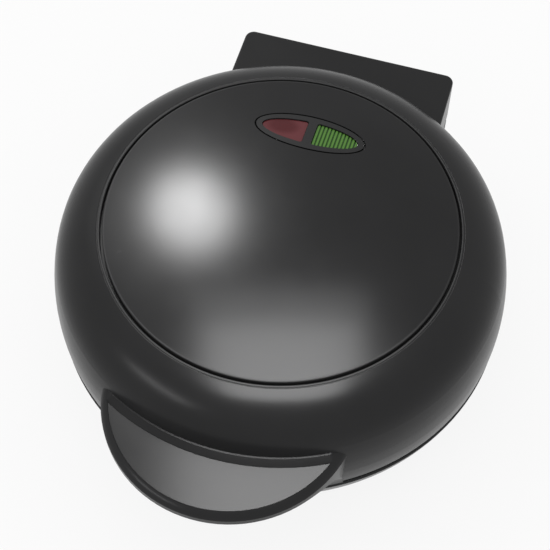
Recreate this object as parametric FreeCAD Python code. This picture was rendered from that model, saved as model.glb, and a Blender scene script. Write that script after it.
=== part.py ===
import FreeCAD, Part
import math
import os

from FreeCAD import Vector

# Donut maker: a domed lid hinged at the back of a round base, each half with a cast baking plate.
# Millimetres. The body of revolution is modelled about the Z axis and moved along Y at the end, so that
# the origin lies on the table under the middle of the whole outline. The handle points to -Y.

# Outer form
BODY_RADIUS = 106.0
LID_RIM_INSET = 0.8
BASE_RIM_INSET = 0.5
BASE_FLOOR_INSET = 26.4
BASE_FLANK_TILT = 10.0
SHOULDER_WIDTH = 25.5
CROWN_RADIUS = 420.0
FOOT_HEIGHT = 4.0
BASE_HEIGHT = 32.4
PARTING_GAP = 2.6
FLANK_RISE = 11.6
SHOULDER_RISE = 43.3
SHOULDER_RATIO = 0.6
BASE_RATIO = 1.0
WALL = 2.6
RIM_ROUND = 1.0

# Top panel and the deck under it
PANEL_GROOVE = 1.1
PANEL_GROOVE_DEPTH = 3.5
PANEL_THICKNESS = 2.5
PANEL_RIM_WIDTH = 4.0
DECK_THICKNESS = 2.5
LIP_ROUND = 0.5
LIP_WIDTH = 1.9
LINE_GROOVE_RADIUS = 0.35

# Visor handle
HANDLE_RADIUS = 56.9
HANDLE_SETBACK = 77.0
HANDLE_DROP = 25.3
HANDLE_THICKNESS = 5.9
SCOOP_WIDTH = 15.5
SCOOP_ROOT_INSET = 0.5
RIM_WIDTH = 3.5
RIM_RISE = 0.8
RIM_FALL = 3.4
RIM_BULGE = 0.5
RIM_HIP_RUN = 4.5
RIM_BEVEL = 0.3
LEDGE_REACH = 1.6
LEDGE_ROOT = 5.0
LEDGE_RISE = 3.4
LEDGE_STEP = 0.3
LEDGE_BULGE = 0.12
CREASE_WIDTH = 0.8
CREASE_DEPTH = 1.5

# Hinge
HINGE_BLOCK_WIDTH = 108.8
HINGE_BLOCK_OVERHANG = 19.4
HINGE_BLOCK_HEIGHT = 27.3
HINGE_CORNER_ROUND = 4.5
HINGE_TOP_ROUND = 1.2
HINGE_ARM_RADIUS = 9.0
HINGE_ARM_WIDTH = 24.4
KNUCKLE_RADIUS = 7.6
KNUCKLE_CLEARANCE = 0.6
KNUCKLE_SWING_CLEARANCE = 2.4
KNUCKLE_END_WALL = 8.0
HINGE_CHEEK = 5.9
HINGE_PIN_RADIUS = 2.5
HINGE_PIN_HEAD_RADIUS = 4.0
HINGE_PIN_HEAD = 1.2
BUSH_RADIUS = 4.0
BUSH_WALL = 1.2
BUSH_COLLAR_RADIUS = 5.2
RUNNING_CLEARANCE = 0.05

# Baking plates
DONUT_TUBE_RADIUS = 9.25
DONUT_LAND = 5.5
DONUT_MARGIN = 11.3
DONUTS_AROUND = 6
CUP_WALL = 2.75
PLATE_GAP = 0.8
PLATE_THICKNESS = 3.0
PLATE_CLEARANCE = 1.5
PLATE_SKIRT_WALL = 2.5
PLATE_SKIRT_DEPTH = 7.0
DRIP_GROOVE_INSET = 4.0
DRIP_GROOVE_RADIUS = 1.2
CENTRE_PAD_RADIUS = 15.0
CENTRE_PAD_LIFT = 0.5

# Heaters and reflectors
HEATER_RADIUS = 3.0
HEATER_LIFT = 0.2
HEATER_SEAT_WIDTH = 11.0
HEATER_GAP_ANGLE = 36.0
HEATER_BEND_RADIUS = 7.0
TERMINAL_INSET = 6.0
SEAL_RADIUS = 2.6
SEAL_LENGTH = 5.0
TERMINAL_RADIUS = 1.2
TERMINAL_LENGTH = 7.0
REFLECTOR_THICKNESS = 0.8
REFLECTOR_CLEARANCE = 0.6
REFLECTOR_MARGIN = 8.5
REFLECTOR_FLANGE = 5.0
REFLECTOR_CENTRE_HOLE = 17.0
TERMINAL_HOLE_RADIUS = 4.2

# Screws
POST_INSET = 25.3
POST_ANGLES = (30.0, 150.0, 210.0, 330.0)
POST_WALL = 1.8
POST_SEAT = 4.0
PLATE_BOSS_WALL = 2.35
SCREW_RADIUS = 1.6
SCREW_LENGTH = 14.0
SCREW_HEAD_RADIUS = 3.2
SCREW_HEAD = 2.4
SMALL_SCREW_RADIUS = 1.2
SMALL_SCREW_LENGTH = 5.5
SMALL_SCREW_HEAD_RADIUS = 2.2
SMALL_SCREW_HEAD = 1.5
HOLE_CLEARANCE = 0.2
HEAD_CLEARANCE = 0.6
THREAD_CLEARANCE = 0.05
SLOT_LENGTH_SHARE = 0.6
SLOT_WIDTH_SHARE = 0.33
SLOT_DEPTH_SHARE = 0.5

# Indicator lights
BEZEL_SETBACK = 47.6
BEZEL_HALF_LENGTH = 26.1
BEZEL_HALF_WIDTH = 9.95
BEZEL_GROOVE = 0.8
BEZEL_FLANGE = 2.0
BEZEL_DEPTH = 5.8
BEZEL_RIM = 3.2
BEZEL_BAR = 4.2
BEZEL_FLANGE_CLEARANCE = 0.2
WINDOW_ROUND = 1.2
LENS_CLEARANCE = 0.25
LENS_RECESS = 0.7
LENS_FLANGE = 0.7
LENS_FLANGE_HEIGHT = 1.6
LENS_RIBS = 12
LENS_RIB_DEPTH = 0.5
LENS_RIB_GAP = 0.55
LAMP_HOLDER_HEIGHT = 9.0
LAMP_HOLDER_MARGIN = 1.0
LAMP_RADIUS = 2.9
LAMP_LENGTH = 11.0
LAMP_OFFSET = 12.0
DECK_WINDOW_MARGIN = 2.0

# Rear wiring box, feet and lead inlet
BOX_FLOOR = 4.4
BOX_FRONT_GAP = 1.0
COVER_THICKNESS = 2.0
COVER_WIDTH = 60.0
COVER_LENGTH = 15.0
COVER_CLEARANCE = 0.2
COVER_LEDGE = 6.0
COVER_LIP = 1.2
TERMINAL_BLOCK_WIDTH = 38.0
TERMINAL_BLOCK_LENGTH = 12.0
TERMINAL_BLOCK_HEIGHT = 12.0
TERMINAL_BLOCK_WAYS = 3
TERMINAL_WELL_DEPTH = 5.0
GLAND_OFFSET = 36.0
GLAND_HEIGHT = 19.0
GLAND_BORE = 3.4
GLAND_WALL = 1.5
GLAND_FLANGE = 2.2
GLAND_FLANGE_THICKNESS = 1.2
GLAND_TAIL = 8.0
FOOT_RADIUS = 9.0
FOOT_TIP_RADIUS = 8.2
FOOT_STEM_RADIUS = 3.0
FOOT_STEM_CLEARANCE = 0.05
FOOT_CAP_RADIUS = 4.2
FOOT_CAP = 1.6
FRONT_FOOT = (48.0, -45.0)
REAR_FOOT_OFFSET = 42.0
REAR_FOOT_INSET = 12.6

# Thermostat and thermal fuse, both on the centre pad of their plate
EAR_LENGTH = 25.0
EAR_WIDTH = 8.0
EAR_THICKNESS = 1.0
EAR_SCREW_SPACING = 19.0
THERMOSTAT_RADIUS = 7.2
THERMOSTAT_HEIGHT = 7.0
THERMOSTAT_TAB = (5.0, 0.8, 3.5)
THERMOSTAT_TAB_OFFSET = 4.0
FUSE_RADIUS = 2.2
FUSE_LENGTH = 13.0
FUSE_LEG_RADIUS = 0.6
FUSE_LEG = 5.0
CLIP_CLEARANCE = 0.1

# Leads
LEAD_RADIUS = 1.8
LEAD_BEND = 5.0
THIN_LEAD_RADIUS = 1.1
LEAD_HOLE_CLEARANCE = 0.8
LEAD_END_GAP = 0.1
LEAD_RISE = 2.6
HINGE_LEAD_OFFSET = 12.0
LID_LEAD_MARGIN = 5.8

# Levels
Z_FLOOR = FOOT_HEIGHT
Z_BASE_RIM = Z_FLOOR + BASE_HEIGHT
Z_LID_RIM = Z_BASE_RIM + PARTING_GAP
Z_PARTING = Z_BASE_RIM + PARTING_GAP / 2
Z_WIDEST = Z_LID_RIM + FLANK_RISE
Z_RING = Z_WIDEST + SHOULDER_RISE
Z_DECK = Z_RING - PANEL_GROOVE_DEPTH
Z_HANDLE = Z_RING - HANDLE_DROP
Z_RIM = Z_HANDLE + RIM_RISE
Z_LEDGE = Z_HANDLE + LEDGE_RISE
Z_HINGE_TOP = Z_LID_RIM + HINGE_BLOCK_HEIGHT
Z_HINGE = Z_LID_RIM + HINGE_ARM_RADIUS
Z_UPPER_FACE = Z_PARTING + PLATE_GAP / 2
Z_LOWER_FACE = Z_PARTING - PLATE_GAP / 2

# Radii and reaches from the body axis
LID_RIM_RADIUS = BODY_RADIUS - LID_RIM_INSET
BASE_RIM_RADIUS = BODY_RADIUS - BASE_RIM_INSET
RING_RADIUS = BODY_RADIUS - SHOULDER_WIDTH
CROWN_SLOPE = math.asin(RING_RADIUS / CROWN_RADIUS)
Z_CROWN_CENTRE = Z_RING - CROWN_RADIUS * math.cos(CROWN_SLOPE)
PLATE_RADIUS = BASE_RIM_RADIUS - WALL - PLATE_CLEARANCE
DONUT_RADIUS = (PLATE_RADIUS - DONUT_MARGIN - DONUT_LAND) / 3
DONUT_RING_RADIUS = DONUT_RADIUS - DONUT_TUBE_RADIUS
DONUT_PITCH = 2 * DONUT_RADIUS + DONUT_LAND
POST_CIRCLE_RADIUS = PLATE_RADIUS - POST_INSET
REAR_REACH = BODY_RADIUS + HINGE_BLOCK_OVERHANG
KNUCKLE_WIDTH = HINGE_BLOCK_WIDTH - 2 * HINGE_ARM_WIDTH
LID_LEAD_OFFSET = HINGE_BLOCK_WIDTH / 2 - WALL - LID_LEAD_MARGIN
FRONT_REACH = HANDLE_SETBACK + HANDLE_RADIUS
HINGE_Y = REAR_REACH - HINGE_ARM_RADIUS
BOX_REAR = HINGE_Y + KNUCKLE_RADIUS
BODY_SHIFT = Vector(0, (FRONT_REACH - REAR_REACH) / 2, 0)

# Depths behind the baking face, the same in both halves
BUMP_RADIUS = DONUT_TUBE_RADIUS + CUP_WALL
PAD_DEPTH = BUMP_RADIUS + CENTRE_PAD_LIFT
HEATER_DEPTH = BUMP_RADIUS + HEATER_LIFT + HEATER_RADIUS
BOSS_DEPTH = HEATER_DEPTH + HEATER_RADIUS + REFLECTOR_CLEARANCE
REFLECTOR_BACK = BOSS_DEPTH + REFLECTOR_THICKNESS
SCREW_SEAT = REFLECTOR_BACK + POST_SEAT
PLATE_BOSS_RADIUS = SCREW_RADIUS + PLATE_BOSS_WALL
COUNTERBORE_RADIUS = SCREW_HEAD_RADIUS + HEAD_CLEARANCE
POST_RADIUS = COUNTERBORE_RADIUS + POST_WALL
REFLECTOR_RADIUS = PLATE_RADIUS - REFLECTOR_MARGIN
Z_LID_LEAD = Z_UPPER_FACE + REFLECTOR_BACK + LEAD_RISE
Z_BASE_LEAD = Z_FLOOR + COVER_THICKNESS + TERMINAL_BLOCK_HEIGHT / 2
Z_TERMINAL_TOP = Z_FLOOR + COVER_THICKNESS + TERMINAL_BLOCK_HEIGHT
Z_TOP = Z_CROWN_CENTRE + CROWN_RADIUS
Z_BEZEL = Z_CROWN_CENTRE + math.sqrt(CROWN_RADIUS ** 2 - BEZEL_SETBACK ** 2) - BEZEL_DEPTH
BOX_FRONT = BASE_RIM_RADIUS + BOX_FRONT_GAP
COVER_Y = (BOX_FRONT + BOX_REAR - WALL) / 2
GLAND_NECK = GLAND_BORE + GLAND_WALL

# How far a cutting tool reaches past the face that it opens, and when two sizes count as equal
CUT = 1.0
NEAR = 1e-3

UP = Vector(0, 0, 1)
DOWN = Vector(0, 0, -1)
ALONG_X = Vector(1, 0, 0)
ALONG_Y = Vector(0, 1, 0)
ORIGIN = Vector(0, 0, 0)


# Curves and simple solids

def rz(radius, height):
    """A point of a turned profile."""
    return Vector(radius, 0, height)


def tangent_arc(start, direction, end):
    """The arc that leaves start along direction and stops at end."""
    chord = end - start
    along = Vector(chord).normalize()
    aside = direction - along * direction.dot(along)
    half_turn = math.acos(max(-1.0, min(1.0, direction.dot(along)))) / 2
    middle = start + chord / 2 + aside.normalize() * (chord.Length / 2 * math.tan(half_turn))
    return Part.Arc(start, middle, end).toShape()


def biarc(start, start_dir, end, end_dir, ratio):
    """Two tangent arcs from start to end along the given directions; ratio sets the second's reach."""
    span = end - start
    bend = 2 * ratio * (start_dir.dot(end_dir) - 1)
    push = span.dot(start_dir + end_dir * ratio)
    reach = (push - math.sqrt(push * push - bend * span.dot(span))) / bend
    first = start + start_dir * reach
    second = end - end_dir * (reach * ratio)
    joint = (first * ratio + second) / (1 + ratio)
    middle_dir = Vector(second - first).normalize()
    return [tangent_arc(start, start_dir, joint), tangent_arc(joint, middle_dir, end)]


def turned(edges):
    """A solid of revolution about the body axis from a closed outline of edges."""
    return Part.Face(Part.Wire(edges)).revolve(ORIGIN, UP, 360)


def lines(points):
    """Straight edges through the points."""
    return [Part.makeLine(a, b) for a, b in zip(points, points[1:])]


def cylinder(radius, start, axis, length):
    """A round bar from start along axis."""
    return Part.makeCylinder(radius, length, start, axis)


def tube(outer, inner, start, axis, length):
    """A hollow round bar."""
    return cylinder(outer, start, axis, length).cut(cylinder(inner, start, axis, length))


def block(low, high):
    """A box between two corners."""
    size = high - low
    return Part.makeBox(size.x, size.y, size.z, low)


def ellipse_prism(half_x, half_y, centre, height):
    """An upright prism with an elliptical outline."""
    long_side, short_side = max(half_x, half_y), min(half_x, half_y)
    outline = Part.Ellipse(centre, long_side, short_side)
    if half_y > half_x:
        outline.rotate(FreeCAD.Placement(centre, FreeCAD.Rotation(UP, 90), ORIGIN))
    return Part.Face(Part.Wire(outline.toShape())).extrude(UP * height)


def rounded(shape, radius, chosen):
    """The shape with its chosen edges rounded."""
    return shape.makeFillet(radius, [edge for edge in shape.Edges if chosen(edge)])


def is_upright(edge):
    """True for a straight vertical edge."""
    span = edge.BoundBox
    return span.ZLength > NEAR and span.XLength + span.YLength < NEAR


def is_ring(radius, height):
    """A test for a level circular edge about the body axis."""
    def test(edge):
        span = edge.BoundBox
        level = span.ZLength < NEAR and abs(span.ZMin - height) < NEAR
        return level and isinstance(edge.Curve, Part.Circle) and abs(edge.Curve.Radius - radius) < NEAR
    return test


def lead(points, radius, bend):
    """A round lead along straight runs that meet in tangent arcs."""
    edges = []
    last = points[0]
    for before, corner, after in zip(points, points[1:], points[2:]):
        back = Vector(before - corner).normalize()
        ahead = Vector(after - corner).normalize()
        half = back.getAngle(ahead) / 2
        start = corner + back * (bend / math.tan(half))
        end = corner + ahead * (bend / math.tan(half))
        middle = corner + Vector(back + ahead).normalize() * (bend / math.sin(half) - bend)
        edges += [Part.makeLine(last, start), Part.Arc(start, middle, end).toShape()]
        last = end
    edges.append(Part.makeLine(last, points[-1]))
    ring = Part.Wire(Part.makeCircle(radius, points[0], points[1] - points[0]))
    return Part.Wire(edges).makePipeShell([ring], True, False)


def screw(head_radius, head, radius, length, seat, axis):
    """A pan-head screw: its head rests on seat and its shank runs along axis."""
    back = seat - axis * head
    whole = cylinder(head_radius, back, axis, head).fuse(cylinder(radius, seat, axis, length))
    reach, half = head_radius * SLOT_LENGTH_SHARE, head * SLOT_WIDTH_SHARE / 2
    depth = head * SLOT_DEPTH_SHARE
    slot = block(Vector(-reach, -half, 0), Vector(reach, half, depth))
    slot = slot.fuse(block(Vector(-half, -reach, 0), Vector(half, reach, depth)))
    slot.Placement = FreeCAD.Placement(back, FreeCAD.Rotation(UP, axis))
    return whole.cut(slot)


def small_screw(seat, axis):
    """A small pan-head screw."""
    return screw(SMALL_SCREW_HEAD_RADIUS, SMALL_SCREW_HEAD, SMALL_SCREW_RADIUS, SMALL_SCREW_LENGTH,
                 seat, axis)


def small_screws(seats, axis):
    """A group of small screws, one on each seat."""
    return Part.makeCompound([small_screw(seat, axis) for seat in seats])


def small_hole(seat, axis):
    """The thread of a small screw, from its seat."""
    return cylinder(SMALL_SCREW_RADIUS + THREAD_CLEARANCE, seat, axis, SMALL_SCREW_LENGTH + CUT)


def upper(shape):
    """Puts a piece that was made behind a face at height 0 behind the lid's baking face."""
    return shape.translated(UP * Z_UPPER_FACE)


def lower(shape):
    """Puts a piece that was made behind a face at height 0 under the base's baking face."""
    return shape.rotated(ORIGIN, ALONG_Y, 180).translated(UP * Z_LOWER_FACE)


def post_places():
    """Where the plate screws stand."""
    turns = [math.radians(angle) for angle in POST_ANGLES]
    return [Vector(math.cos(turn), math.sin(turn), 0) * POST_CIRCLE_RADIUS for turn in turns]


def donut_places():
    """The centres of the donut rings: one in the middle and the rest around it."""
    turns = [math.tau * index / DONUTS_AROUND for index in range(DONUTS_AROUND)]
    return [ORIGIN] + [Vector(math.cos(turn), math.sin(turn), 0) * DONUT_PITCH for turn in turns]


def ear_places():
    """The two screws on a plate's centre pad."""
    return [Vector(side * EAR_SCREW_SPACING / 2, 0, PAD_DEPTH + EAR_THICKNESS) for side in (-1, 1)]


# Lid shell

def dome(inset):
    """The lid's outer form as a solid, moved inwards by inset."""
    rim = rz(LID_RIM_RADIUS - inset, Z_LID_RIM)
    widest = rz(BODY_RADIUS - inset, Z_WIDEST)
    outward = rz(math.cos(CROWN_SLOPE), -math.sin(CROWN_SLOPE))
    ring = rz(RING_RADIUS, Z_RING) - rz(math.sin(CROWN_SLOPE), math.cos(CROWN_SLOPE)) * inset
    edges = lines([ring, rz(0, ring.z), rz(0, rim.z), rim])
    edges.append(tangent_arc(widest, DOWN, rim))
    edges += biarc(ring, outward, widest, DOWN, SHOULDER_RATIO)
    return turned(Part.__sortEdges__(edges))


def bowed(start, end, bulge):
    """An arc in the turning plane that rises by bulge over the chord from start to end."""
    chord = end - start
    lift = rz(-chord.z, chord.x).normalize() * bulge
    return Part.Arc(start, (start + end) / 2 + lift, end).toShape()


def handle():
    """The visor handle before it joins the dome: a sunk crescent between a sloping rim and a ledge."""
    centre = Vector(0, -HANDLE_SETBACK, 0)
    inner = HANDLE_RADIUS - RIM_WIDTH
    crest = rz(inner, Z_RIM)
    edge = rz(HANDLE_RADIUS, Z_RIM - RIM_FALL)
    outline = lines([edge, rz(HANDLE_RADIUS, Z_LID_RIM), rz(0, Z_LID_RIM), rz(0, Z_LEDGE),
                     rz(inner - RIM_HIP_RUN, Z_LEDGE), crest])
    solid = turned(Part.__sortEdges__(outline + [bowed(crest, edge, RIM_BULGE)])).translated(centre)
    top_layer = block(Vector(-BODY_RADIUS, -FRONT_REACH, Z_LEDGE - CREASE_DEPTH),
                      Vector(BODY_RADIUS, 0, Z_LEDGE + CUT))
    crease = dome(-CREASE_WIDTH).common(top_layer)
    top = Z_LEDGE + CUT
    low = rz(inner, Z_RIM - RIM_BEVEL)
    flare = rz(inner + top - low.z, top)
    sunk = turned(lines([rz(0, Z_HANDLE), rz(inner, Z_HANDLE), low, flare, rz(0, top), rz(0, Z_HANDLE)]))
    kept = cylinder(BODY_RADIUS + LEDGE_REACH, rz(0, Z_LID_RIM), UP, top + CUT - Z_LID_RIM)
    return solid.cut([scoop(), over_ledge(), crease, sunk.translated(centre).cut(kept)])


def over_ledge():
    """What is taken off above the ledge that leads from the dome down to the sunk crescent."""
    root = rz(BODY_RADIUS - LEDGE_ROOT, Z_LEDGE)
    foot = rz(BODY_RADIUS + LEDGE_REACH, Z_HANDLE + LEDGE_STEP)
    top = Z_LEDGE + CUT
    edges = lines([foot, rz(foot.x, top), rz(root.x, top), root])
    return turned(Part.__sortEdges__(edges + [bowed(root, foot, LEDGE_BULGE)]))


def scoop():
    """The finger space under the handle, turned about the body axis."""
    under = Z_HANDLE - HANDLE_THICKNESS
    root = LID_RIM_RADIUS + SCOOP_ROOT_INSET
    centre = rz(root + SCOOP_WIDTH, Z_LID_RIM)
    top = rz(centre.x, under)
    outline = Part.Ellipse(top, rz(root, Z_LID_RIM), centre)
    flare = Part.ArcOfEllipse(outline, 0, math.pi / 2).toShape()
    far = FRONT_REACH + CUT
    below = Z_LID_RIM - CUT
    edges = lines([rz(root, Z_LID_RIM), rz(root, below), rz(far, below), rz(far, under), top])
    return turned(Part.__sortEdges__(edges + [flare]))


def rear_block(rear, low, high):
    """A box at the back with rounded upright corners, reaching into the body of revolution."""
    half = HINGE_BLOCK_WIDTH / 2
    solid = block(Vector(-half, BODY_RADIUS / 2, low), Vector(half, rear, high))
    return rounded(solid, HINGE_CORNER_ROUND,
                   lambda edge: is_upright(edge) and edge.BoundBox.YMax > rear - CUT)


def across(edges, half_width):
    """A solid with the given outline in the YZ plane, reaching half_width to each side."""
    face = Part.Face(Part.Wire(Part.__sortEdges__(edges)))
    return face.extrude(ALONG_X * (2 * half_width)).translated(ALONG_X * -half_width)


def lid_hinge_block():
    """The lid's rear block, rounded about the hinge axis so that it can swing over the base."""
    front = BODY_RADIUS / 2
    arc_mid = Vector(0, HINGE_Y, Z_HINGE) + Vector(0, 1, -1).normalize() * HINGE_ARM_RADIUS
    foot = Vector(0, HINGE_Y, Z_LID_RIM)
    back = Vector(0, REAR_REACH, Z_HINGE)
    edges = lines([back, Vector(0, REAR_REACH, Z_HINGE_TOP), Vector(0, front, Z_HINGE_TOP),
                   Vector(0, front, Z_LID_RIM), foot])
    edges.append(Part.Arc(foot, arc_mid, back).toShape())
    solid = across(edges, HINGE_BLOCK_WIDTH).common(rear_block(REAR_REACH, Z_LID_RIM, Z_HINGE_TOP))

    def on_top(edge):
        span = edge.BoundBox
        return span.ZMin > Z_HINGE_TOP - NEAR and span.YMax > front + CUT
    return rounded(solid, HINGE_TOP_ROUND, on_top)


def hinge_cuts():
    """Knuckle notch, side pockets, pin bores and lead hole in the lid's rear block."""
    notch_half = KNUCKLE_WIDTH / 2 + KNUCKLE_CLEARANCE
    swing = KNUCKLE_RADIUS + KNUCKLE_SWING_CLEARANCE
    below = Z_LID_RIM - CUT
    notch = block(Vector(-notch_half, HINGE_Y - swing, below),
                  Vector(notch_half, REAR_REACH + CUT, Z_HINGE + swing))
    inner, outer = notch_half + HINGE_CHEEK, HINGE_BLOCK_WIDTH / 2 - WALL
    pocket_low = Vector(inner, BODY_RADIUS, below)
    pocket = block(pocket_low, Vector(outer, REAR_REACH - WALL, Z_HINGE_TOP - WALL))
    pin_hole = cylinder(HINGE_PIN_RADIUS + RUNNING_CLEARANCE, Vector(-inner - CUT, HINGE_Y, Z_HINGE),
                        ALONG_X, inner)
    bush_hole = cylinder(BUSH_RADIUS + RUNNING_CLEARANCE, Vector(0, HINGE_Y, Z_HINGE), ALONG_X, inner + CUT)
    lead_start = Vector(LID_LEAD_OFFSET, BODY_RADIUS / 2, Z_LID_LEAD)
    lead_hole = cylinder(LEAD_RADIUS + LEAD_HOLE_CLEARANCE, lead_start, ALONG_Y, BODY_RADIUS / 2 + CUT)
    return [notch, pocket, pocket.mirror(ORIGIN, ALONG_X), pin_hole, bush_hole, lead_hole]


def lid_shell():
    """Dome, handle and rear block in one moulding, with the deck that carries the panel and the plate."""
    outer = rounded(dome(0), RIM_ROUND, is_ring(LID_RIM_RADIUS, Z_LID_RIM))
    deck_low = Z_DECK - DECK_THICKNESS
    seat_radius = RING_RADIUS + PANEL_GROOVE / 2
    seat = cylinder(seat_radius, rz(0, Z_DECK), UP, PANEL_GROOVE_DEPTH + CUT)
    line_height = Z_RING - LIP_WIDTH * math.tan(CROWN_SLOPE)
    line_groove = Part.makeTorus(RING_RADIUS + LIP_WIDTH, LINE_GROOVE_RADIUS, rz(0, line_height))
    outer = outer.cut([seat, line_groove])
    outer = rounded(outer, LIP_ROUND, lambda edge: edge.BoundBox.ZMin > Z_DECK + CUT
                    and abs(edge.BoundBox.XMax - seat_radius) < NEAR)
    hollow = dome(WALL).common(cylinder(BODY_RADIUS, rz(0, Z_LID_RIM), UP, deck_low - Z_LID_RIM))
    mouth = cylinder(LID_RIM_RADIUS - WALL, rz(0, Z_LID_RIM - CUT), UP, 2 * CUT)
    shell = outer.fuse([handle(), lid_hinge_block()]).cut([hollow, mouth] + hinge_cuts())
    z_post = Z_UPPER_FACE + REFLECTOR_BACK
    z_seat = Z_UPPER_FACE + SCREW_SEAT
    posts = [cylinder(POST_RADIUS, place + UP * z_post, UP, Z_DECK - z_post) for place in post_places()]
    bores = []
    for place in post_places():
        bores.append(cylinder(COUNTERBORE_RADIUS, place + UP * z_seat, UP, Z_DECK + CUT - z_seat))
        bores.append(cylinder(SCREW_RADIUS + HOLE_CLEARANCE, place + UP * (z_post - CUT), UP,
                              POST_SEAT + 2 * CUT))
    window = Vector(BEZEL_HALF_LENGTH + DECK_WINDOW_MARGIN, BEZEL_HALF_WIDTH + DECK_WINDOW_MARGIN, CUT)
    middle = Vector(0, BEZEL_SETBACK, 0)
    bores.append(block(middle - window + UP * deck_low, middle + window + UP * Z_DECK))
    return shell.fuse(posts).cut(bores).removeSplitter()


# Top panel and indicator lights

def crown_height(radius, drop=0.0):
    """Height of the crown, or of a surface that lies drop under it, at a distance from the body axis."""
    return Z_CROWN_CENTRE + math.sqrt((CROWN_RADIUS - drop) ** 2 - radius ** 2)


def crown_arc(radius, drop):
    """The crown's profile from the axis to a radius."""
    ends = [rz(share * radius, crown_height(share * radius, drop)) for share in (0, 0.5, 1)]
    return Part.Arc(*ends).toShape()


def under_crown(solid, drop):
    """The stretch of a solid that lies under the crown by drop or more."""
    return solid.common(Part.makeSphere(CROWN_RADIUS - drop, rz(0, Z_CROWN_CENTRE)))


def light_oval(grow, low, high):
    """An upright prism with the bezel's oval outline, grown or shrunk."""
    centre = Vector(0, BEZEL_SETBACK, low)
    return ellipse_prism(BEZEL_HALF_LENGTH + grow, BEZEL_HALF_WIDTH + grow, centre, high - low)


def top_panel():
    """The domed disc inside the ring groove."""
    radius = RING_RADIUS - PANEL_GROOVE / 2
    inner = radius - PANEL_RIM_WIDTH
    edges = [crown_arc(radius, 0), crown_arc(inner, PANEL_THICKNESS)]
    edges += lines([rz(radius, crown_height(radius)), rz(radius, Z_DECK), rz(inner, Z_DECK),
                    rz(inner, crown_height(inner, PANEL_THICKNESS))])
    edges += lines([rz(0, crown_height(0, PANEL_THICKNESS)), rz(0, crown_height(0))])
    solid = turned(Part.__sortEdges__(edges))
    solid = rounded(solid, LIP_ROUND, is_ring(radius, crown_height(radius)))
    return solid.cut(light_oval(BEZEL_GROOVE / 2, Z_DECK, Z_TOP))


def window_prism(side, grow, low, high):
    """One light's window: an end of the inner oval, cut off beside the bar, with rounded corners."""
    edge = BEZEL_BAR / 2 - grow
    far = BEZEL_HALF_LENGTH
    keep = block(Vector(edge, BEZEL_SETBACK - far, low - CUT),
                 Vector(edge + far, BEZEL_SETBACK + far, high + CUT))
    solid = light_oval(grow - BEZEL_RIM, low, high).common(keep)
    solid = rounded(solid, WINDOW_ROUND + grow, is_upright_at(edge))
    return solid if side > 0 else solid.mirror(ORIGIN, ALONG_X)


def is_upright_at(offset):
    """A test for upright edges at a distance from the middle plane."""
    return lambda edge: is_upright(edge) and abs(edge.BoundBox.XMin - offset) < NEAR


def indicator_bezel():
    """The oval frame of the two lights, held from below by its flange."""
    body = under_crown(light_oval(-BEZEL_GROOVE / 2, Z_BEZEL, Z_TOP), 0)
    flange = under_crown(light_oval(BEZEL_FLANGE, Z_BEZEL, Z_TOP), PANEL_THICKNESS + BEZEL_FLANGE_CLEARANCE)
    step = Z_BEZEL + LENS_FLANGE_HEIGHT + LENS_CLEARANCE
    cuts = [small_hole(Vector(0, BEZEL_SETBACK, Z_BEZEL - SMALL_SCREW_HEAD), UP)]
    for side in (-1, 1):
        cuts.append(window_prism(side, 0, Z_BEZEL - CUT, Z_TOP))
        cuts.append(window_prism(side, LENS_FLANGE, Z_BEZEL - CUT, step))
    return body.fuse(flange).cut(cuts)


def lens(side):
    """A lens that stands in its window, a little under the crown."""
    stem = under_crown(window_prism(side, -LENS_CLEARANCE, Z_BEZEL, Z_TOP), LENS_RECESS)
    flange = window_prism(side, LENS_FLANGE - LENS_CLEARANCE, Z_BEZEL, Z_BEZEL + LENS_FLANGE_HEIGHT)
    return stem.fuse(flange)


def ribbed_lens(side):
    """A lens with upright ribs across its top."""
    start = BEZEL_BAR / 2
    pitch = (BEZEL_HALF_LENGTH - BEZEL_RIM - start) / LENS_RIBS
    far = BEZEL_HALF_WIDTH
    grooves = []
    for index in range(1, LENS_RIBS):
        middle = side * (start + pitch * index)
        low = Vector(middle - LENS_RIB_GAP / 2, BEZEL_SETBACK - far, Z_BEZEL)
        grooves.append(block(low, Vector(middle + LENS_RIB_GAP / 2, BEZEL_SETBACK + far, Z_TOP)))
    body = lens(side)
    core = under_crown(body, LENS_RECESS + LENS_RIB_DEPTH)
    return body.cut(grooves).fuse(core).removeSplitter()


def lamp_place(side):
    """The middle of a lamp's bore at the bezel's lower face."""
    return Vector(side * LAMP_OFFSET, BEZEL_SETBACK, Z_BEZEL)


def lamp_holder():
    """The carrier of the two lamps, screwed to the bezel from below."""
    solid = light_oval(-LAMP_HOLDER_MARGIN, Z_BEZEL - LAMP_HOLDER_HEIGHT, Z_BEZEL)
    bores = [cylinder(LAMP_RADIUS + CLIP_CLEARANCE, lamp_place(side) - UP * LAMP_HOLDER_HEIGHT, UP,
                      LAMP_HOLDER_HEIGHT) for side in (-1, 1)]
    seat = Vector(0, BEZEL_SETBACK, Z_BEZEL - SMALL_SCREW_HEAD)
    bores.append(cylinder(SMALL_SCREW_HEAD_RADIUS + HEAD_CLEARANCE, seat, DOWN, LAMP_HOLDER_HEIGHT))
    bores.append(cylinder(SMALL_SCREW_RADIUS + HOLE_CLEARANCE, seat, UP, SMALL_SCREW_LENGTH))
    return solid.cut(bores)


def lamp(side):
    """A small glass lamp with a round tip."""
    tip = lamp_place(side) - UP * (LAMP_RADIUS + LENS_CLEARANCE)
    stem = cylinder(LAMP_RADIUS, tip, DOWN, LAMP_LENGTH - LAMP_RADIUS)
    return stem.fuse(Part.makeSphere(LAMP_RADIUS, tip))


# Baking plates, heaters and reflectors, made behind a face at height 0

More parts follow.
